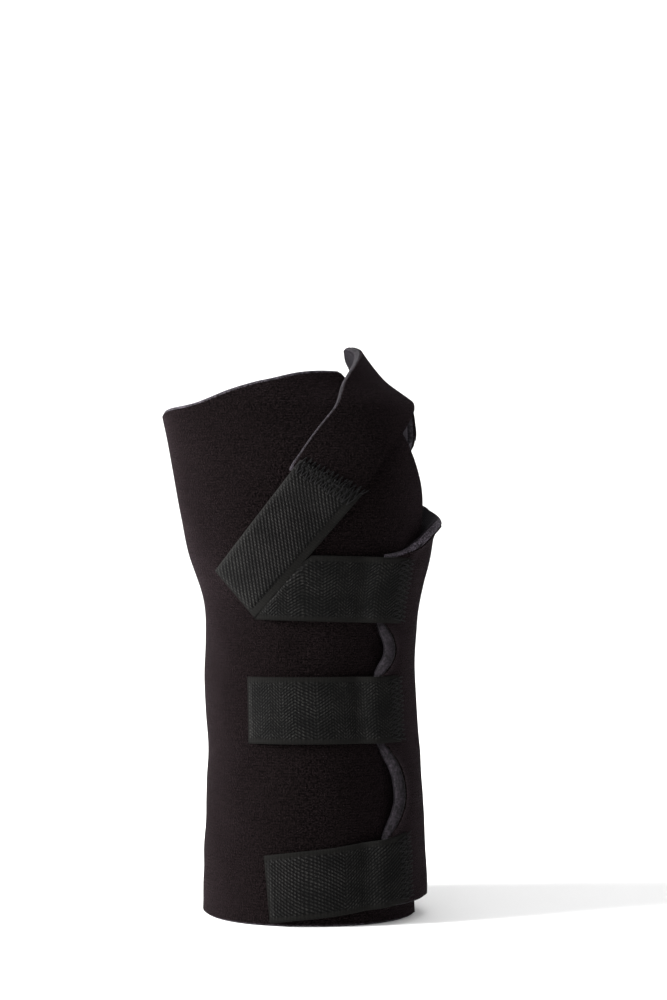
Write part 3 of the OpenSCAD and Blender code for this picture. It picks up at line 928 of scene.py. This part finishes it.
def calc(operation, a, b=0.0, c=0.0):
    """A sum, product or function of up to three sockets and numbers, of which a is a socket."""
    made = new_node(a, "Math")
    made.operation = operation
    for socket, value in zip(made.inputs, (a, b, c)):
        plug(socket, value)
    return made.outputs[0]


def ramp(value, low, high, to_low=0.0, to_high=1.0):
    """value taken from low..high to to_low..to_high, held at both ends."""
    made = new_node(value, "MapRange")
    for socket, number in zip(made.inputs, (value, low, high, to_low, to_high)):
        plug(socket, number)
    return made.outputs[0]


def mix(share, a, b):
    """Colour a where share is 0 and b where it is 1."""
    made = new_node(share, "Mix")
    made.data_type = "RGBA"
    plug(made.inputs[0], share)
    for socket, colour in ((made.inputs[6], a), (made.inputs[7], b)):
        plug(socket, (*colour, 1) if isinstance(colour, tuple) else colour)
    return made.outputs[2]


def uv(shader, name):
    """Place in a UV map."""
    made = new_node(shader, "UVMap")
    made.uv_map = name
    return made.outputs[0]


def solid_place(shader):
    """Place in the object's own space."""
    return new_node(shader, "TexCoord").outputs["Object"]


def parts(vector):
    """A vector's three parts."""
    made = new_node(vector, "SeparateXYZ")
    plug(made.inputs[0], vector)
    return made.outputs


def stretched(vector, x, y, z=1.0):
    """A vector with its parts multiplied."""
    made = new_node(vector, "VectorMath")
    made.operation = "MULTIPLY"
    plug(made.inputs[0], vector)
    made.inputs[1].default_value = (x, y, z)
    return made.outputs[0]


def grain(vector, size_mm, detail=2.0, roughness=0.5):
    """Noise with features of about that size."""
    made = new_node(vector, "TexNoise")
    plug(made.inputs["Vector"], vector)
    made.inputs["Scale"].default_value = 1 / (size_mm * MM)
    made.inputs["Detail"].default_value = detail
    made.inputs["Roughness"].default_value = roughness
    return made.outputs["Fac"]


def wave(value, period_mm, wobble=None):
    """0 to 1 and back over each period of a length in metres."""
    phase = calc("MULTIPLY", value, 2 * math.pi / (period_mm * MM))
    if wobble is not None:
        phase = calc("ADD", phase, wobble)
    return ramp(calc("SINE", phase), -1, 1)


def finish(shader, colour, height, depth_mm, strength=1.0, roughness=None):
    """Wires colour, roughness and a bump of that depth to the shader."""
    plug(shader.inputs["Base Color"], colour)
    if roughness is not None:
        plug(shader.inputs["Roughness"], roughness)
    made = new_node(shader, "Bump")
    made.inputs["Strength"].default_value = strength
    made.inputs["Distance"].default_value = depth_mm * MM
    plug(made.inputs["Height"], height)
    plug(shader.inputs["Normal"], made.outputs[0])


def make_loop_fabric():
    """Brushed nylon loop: a speckled nap over fine knitted rows, rubbed smoother in patches."""
    mat, shader = material("brushed_loop", 0.95, 0.012, 0.037, (1.0, 0.72, 0.86), 0.30)
    place = uv(shader, "cloth")
    nap = grain(place, 0.46, 2, 0.65)
    clumps = grain(place, 1.3, 2, 0.6)
    patches = grain(place, 19, 2)
    rows = wave(parts(place)[1], 0.82, calc("MULTIPLY", clumps, 2.2))
    tufts = calc("MULTIPLY_ADD", rows, 0.05, calc("MULTIPLY_ADD", clumps, 0.25, nap))
    share = ramp(calc("MULTIPLY_ADD", patches, 0.08, tufts), 0.58, 0.88)
    colour = mix(share, (0.0006, 0.0004, 0.0004), (0.0095, 0.0066, 0.0069))
    finish(shader, colour, tufts, 0.9, roughness=ramp(share, 0, 1, 1.0, 0.85))
    return mat


def make_foam(name, pale, rim=None):
    """Cut closed-cell foam with the ends of the bonded knit in the given colour: speckled lilac grey
    where that colour is pale, darker where it is painted shade. With rim given, the ends have that
    colour at the flap's rim, from 0.116 m up, and the painted shade colour below."""
    mat, shader = material(name, 0.9, 0.08, 0.03)
    place = solid_place(shader)
    cells = grain(place, 0.55, 3, 0.75)
    blotches = grain(place, 1.5, 2)
    share = ramp(calc("MULTIPLY_ADD", blotches, 0.3, cells), 0.55, 0.80)
    ends = pale
    # Below the flap's rim the ends keep the given colour, which there is painted shade; the rim colour
    # above is the foam's own.
    if rim is not None:
        ends = mix(ramp(parts(place)[2], 0.108, 0.116), pale, rim)
    colour = mix(share, (0.0012, 0.0010, 0.0013), ends)
    finish(shader, colour, cells, 0.35)
    return mat


def make_lining():
    """Grey jersey: columns of knit stitches."""
    mat, shader = material("jersey_lining", 0.9, 0.04, 0.03, (0.9, 0.86, 1.0), 0.4)
    place = uv(shader, "cloth")
    across, up, _ = parts(place)
    column = calc("SINE", calc("MULTIPLY", across, math.pi / (1.05 * MM)))
    column = calc("ABSOLUTE", column)
    slant = calc("MULTIPLY", column, 0.9)
    loops = wave(up, 0.8, slant)
    fuzz = grain(place, 0.35, 2)
    height = calc("MULTIPLY_ADD", loops, 0.4, calc("MULTIPLY_ADD", column, 0.7, fuzz))
    share = ramp(height, 0.45, 1.5)
    knit = mix(share, (0.0014, 0.0012, 0.0015), (0.0084, 0.0070, 0.0088))
    rubbed = ramp(grain(place, 14, 2), 0.4, 0.7)
    finish(shader, mix(rubbed, knit, (0.0042, 0.0036, 0.0044)), height, 0.2)
    return mat


def make_tape():
    """Woven nylon tape: ribs painted lighter near their crest and on one flank and darker in the
    grooves, a painted highlight and painted shade over the ribbed geometry, and plain, greener
    selvedges.
    """
    mat, shader = material("hook_tape_weave", 0.72, 0.05, 0.008, (0.9, 1.0, 0.93), 0.4)
    phase, ribbed, _ = parts(uv(shader, "twill"))
    place = uv(shader, "cloth")
    yarn = grain(place, 0.55, 2, 0.6)
    wear = grain(place, 9, 2)
    turn = calc("MULTIPLY_ADD", phase, 2 * math.pi, calc("MULTIPLY", yarn, 2.6))
    # Painted highlight and painted shade: the rib colour peaks a little off each rib's crest, on one
    # flank, and goes dark in the grooves.
    rib = ramp(calc("COSINE", calc("SUBTRACT", turn, 0.55)), -1, 1)
    along, across, _ = parts(place)
    picks = wave(along, 0.84, calc("MULTIPLY", yarn, 5.0))
    ends = wave(across, 0.5)
    weave = calc("MULTIPLY_ADD", picks, 0.5, calc("MULTIPLY", ends, 0.3))
    lit = calc("MULTIPLY", rib, ramp(yarn, 0.38, 0.62, 0.1, 1.3))
    lit = calc("MULTIPLY", lit, ramp(picks, 0.1, 0.8, 0.25, 1.25))
    # Patches of wear in the tape, laid over the painted rib light.
    lit_and_worn = calc("MULTIPLY", lit, ramp(wear, 0.38, 0.62, 0.45, 1.1))
    painted_rib_light = mix(lit_and_worn, (0.0009, 0.0009, 0.0009), (0.0150, 0.0145, 0.0136))
    plain = mix(weave, (0.0022, 0.0021, 0.0019), (0.0056, 0.0053, 0.0048))
    colour = mix(ribbed, plain, painted_rib_light)
    height = calc("ADD", calc("MULTIPLY", lit, ribbed), calc("MULTIPLY", weave, 0.35))
    finish(shader, colour, height, 0.12, 0.8)
    return mat


def make_moulded_hooks():
    """Moulded nylon hooks: duller and shinier streaks."""
    mat, shader = material("moulded_hooks", 0.65, 0.12)
    place = solid_place(shader)
    streaks = grain(place, 1.4, 3)
    share = ramp(streaks, 0.35, 0.65)
    colour = mix(share, (0.004, 0.0043, 0.004), (0.0105, 0.0112, 0.0105))
    roughness = ramp(streaks, 0.3, 0.7, 0.55, 0.75)
    finish(shader, colour, grain(place, 0.12), 0.03, 0.5, roughness)
    return mat


def make_thread():
    """Twisted sewing thread: short light and dark bands across it."""
    mat, shader = material("sewing_thread", 0.75, 0.05, 0.02)
    place = solid_place(shader)
    x, y, z = parts(place)
    twist = wave(calc("ADD", calc("ADD", x, z), y), 0.3, grain(place, 0.4))
    colour = mix(twist, (0.0010, 0.0010, 0.0011), (0.0105, 0.0100, 0.0105))
    finish(shader, colour, twist, 0.06)
    return mat


def make_pocket_weave():
    """Plain-woven nylon: a fine basket of warp and weft."""
    mat, shader = material("pocket_weave", 0.85, 0.05, 0.02, (0.9, 0.85, 0.95), 0.4)
    place = uv(shader, "cloth")
    across, up, _ = parts(place)
    wobble = calc("MULTIPLY", grain(place, 3, 2), 2.0)
    warp, weft = wave(across, 0.7, wobble), wave(up, 0.7, wobble)
    basket = calc("ABSOLUTE", calc("SUBTRACT", warp, weft))
    fibre = grain(stretched(place, 1, 0.3), 0.22)
    height = calc("MULTIPLY_ADD", fibre, 0.4, basket)
    colour = mix(ramp(height, 0.1, 1.2), (0.0020, 0.0017, 0.0019), (0.0125, 0.0106, 0.0120))
    finish(shader, colour, height, 0.14)
    return mat


def make_binding():
    """Ribbed binding tape: ribs across it, and a plain line at each edge."""
    mat, shader = material("binding_rib", 0.8, 0.06, 0.02)
    place = uv(shader, "cloth")
    rib = wave(parts(place)[0], 0.9, grain(place, 1.5))
    yarn = grain(stretched(place, 1, 0.25), 0.25)
    height = calc("MULTIPLY_ADD", yarn, 0.4, rib)
    colour = mix(ramp(height, 0.1, 1.3), (0.0018, 0.0018, 0.0020), (0.0105, 0.0104, 0.0112))
    finish(shader, colour, height, 0.14)
    return mat


def make_rolled_aluminium():
    """Rolled strip: long fine lines and small scratches, brighter and duller in places."""
    mat, shader = material("rolled_aluminium", 0.35, 0.5)
    shader.inputs["Metallic"].default_value = 1.0
    place = solid_place(shader)
    lines = grain(stretched(place, 1, 1, 0.02), 0.2, 3)
    marks = grain(stretched(place, 0.35, 1, 1), 0.9, 4, 0.7)
    colour = mix(ramp(marks, 0.4, 0.7), (0.18, 0.182, 0.189), (0.30, 0.303, 0.312))
    roughness = ramp(calc("ADD", lines, marks), 0.7, 1.3, 0.22, 0.5)
    finish(shader, colour, lines, 0.02, 0.6, roughness)
    return mat


def make_vinyl():
    """Dipped vinyl: a soft, slightly uneven skin."""
    mat, shader = material("dipped_vinyl", 0.5, 0.22)
    place = solid_place(shader)
    runs = grain(stretched(place, 1, 1, 0.4), 4, 2)
    colour = mix(ramp(runs, 0.35, 0.65), (0.006, 0.006, 0.007), (0.014, 0.014, 0.016))
    roughness = ramp(grain(place, 1.2, 3), 0.35, 0.7, 0.4, 0.6)
    finish(shader, colour, runs, 0.25, 0.5, roughness)
    return mat


LOOP, LINING, TAPE = make_loop_fabric(), make_lining(), make_tape()
FOAMS = {  # painted shade: the web strap's cut edges and, darker still, the flap's below its rim are painted darker than the wrap's, as these edges face away from the key light
    "wrap": make_foam("cut_foam", (0.070, 0.061, 0.073)),
    "web_strap": make_foam("web_strap_foam_painted_shade", (0.026, 0.022, 0.027)),
    "flap": make_foam("flap_foam_painted_shade", (0.0135, 0.0104, 0.0139), rim=(0.074, 0.062, 0.078)),
}
HOOKS, THREAD, POCKET = make_moulded_hooks(), make_thread(), make_pocket_weave()
BINDING, METAL, VINYL = make_binding(), make_rolled_aluminium(), make_vinyl()


# ---------------------------------------------------------------- assembly

# Where each piece that folds starts and stops bending, in millimetres; nothing here reads this table.
BENDS = {
    "flap": skin(np.array([315, 330]), 60, WRAP_T),
    "web_strap": [(21.8, 15, 171), (21.8, 2, 171)],
    "web_tab": [(5.5, -25.8, 135.9), (2.7, -25.8, 129.5)],
}
STRAP_BEND = FLAP_EDGE - 3.5, FLAP_EDGE + 3.5
for name, strap in STRAPS.items():
    BENDS[name] = skin(STRAP_BEND, strap_z(strap, FLAP_EDGE, 0.5), WRAP_T + SECOND_PLY)


def dress(piece, mat, nodes, body, folding=None):
    """Gives a piece its material in one slot and hides the CAD nodes that it replaces. Without
    folding, the piece is parented to its body's empty; with folding, its place is baked into its mesh."""
    piece.data.materials.clear()
    piece.data.materials.append(mat)
    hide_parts(*nodes)
    if folding is None:
        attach(piece, body)
    else:
        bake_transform(piece)


for name, layers in (("wrap", make_wrap()), ("flap", make_flap()), ("web_strap", make_web())):
    face, foam, lining = layers
    folding = None if name == "wrap" else name
    dress(face, LOOP, [name + "_face"], "wrap", folding)
    dress(foam, FOAMS[name], [name + "_foam"], "wrap", folding)
    dress(lining, LINING, [name + "_lining"], "wrap", folding)

for name, strap in STRAPS.items():
    dress(make_strap(name, strap), TAPE, [name + "_base", name + "_tail"], "flap", name)
    dress(make_strap_hooks(name, strap), HOOKS, [name + "_hooks"], name)
    dress(make_strap_stitching(name, strap), THREAD, [name + "_stitching"], "flap")

dress(make_web_tab(), TAPE, ["web_tab_base", "web_tab_tail"], "web_strap", "web_tab")
for piece in (make_tab_stitching(), make_loose_threads()):
    dress(piece, THREAD, ["web_tab_stitching"], "web_strap", "web_tab")
dress(make_tab_hooks(), HOOKS, ["web_tab_hooks"], "web_tab")

dress(make_pocket(), POCKET, ["stay_pocket"], "wrap")
dress(make_hem(), BINDING, ["pocket_hem"], "wrap")
dress(make_pocket_stitching(), THREAD, ["pocket_stitching"], "wrap")

for node, mat in (("palmar_stay", METAL), ("stay_cap_upper", VINYL), ("stay_cap_lower", VINYL)):
    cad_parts[node].data.materials.clear()
    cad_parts[node].data.materials.append(mat)


# ---------------------------------------------------------------- stage, light and camera


def make_stage():
    """A pale floor that curves up into a backdrop behind the object."""
    profile = [(-3.0, 0.0), (1.2, 0.0), (1.6, 0.06), (1.9, 0.25), (2.05, 0.6), (2.1, 3.0)]
    verts, faces = [], []
    for x in (-4, 4):
        verts += [(x, y, z) for y, z in profile]
    n = len(profile)
    for k in range(n - 1):
        faces.append([k, n + k, n + k + 1, k + 1])
    mesh = bpy.data.meshes.new("studio_sweep")
    mesh.from_pydata(verts, [], faces)
    mesh.shade_smooth()
    sweep = bpy.data.objects.new("studio_sweep", mesh)
    bpy.context.scene.collection.objects.link(sweep)
    mat, shader = material("studio_paper", 0.9, 0.1)
    fibres = grain(solid_place(shader), 0.8, 3)
    finish(shader, mix(fibres, (0.90, 0.90, 0.90), (0.95, 0.95, 0.95)), fibres, 0.03, 0.2)
    mesh.materials.append(mat)


def area_light(name, location, target, size, power):
    """A round white light that faces its target."""
    data = bpy.data.lights.new(name, "AREA")
    data.shape = "DISK"
    data.size = size
    data.energy = power
    obj = bpy.data.objects.new(name, data)
    bpy.context.scene.collection.objects.link(obj)
    obj.location = location
    obj.rotation_mode = "QUATERNION"
    obj.rotation_quaternion = (Vector(target) - Vector(location)).to_track_quat("-Z", "Y")


make_stage()
area_light("key", (-1.3, -0.25, 0.45), (0, 0, 0.1), 0.5, 95)
area_light("fill", (1.0, -1.4, 0.5), (0, 0, 0.1), 1.2, 2)
area_light("top", (0.1, 0.6, 1.6), (0, 0, 0.1), 1.2, 6)

world = bpy.data.worlds.new("studio")
bpy.context.scene.world = world
world.use_nodes = True
world.node_tree.nodes["Background"].inputs["Color"].default_value = (1, 1, 1, 1)
world.node_tree.nodes["Background"].inputs["Strength"].default_value = 0.8

camera = bpy.data.cameras.new("camera")
camera.sensor_width = 36
camera.lens = 68.4
view = bpy.data.objects.new("camera", camera)
bpy.context.scene.collection.objects.link(view)
view.location = (0.0074, -0.608, 0.1305)
view.rotation_euler = (math.radians(90), 0, 0)
bpy.context.scene.camera = view
bpy.context.scene.view_settings.view_transform = "Standard"

bpy.context.view_layer.update()
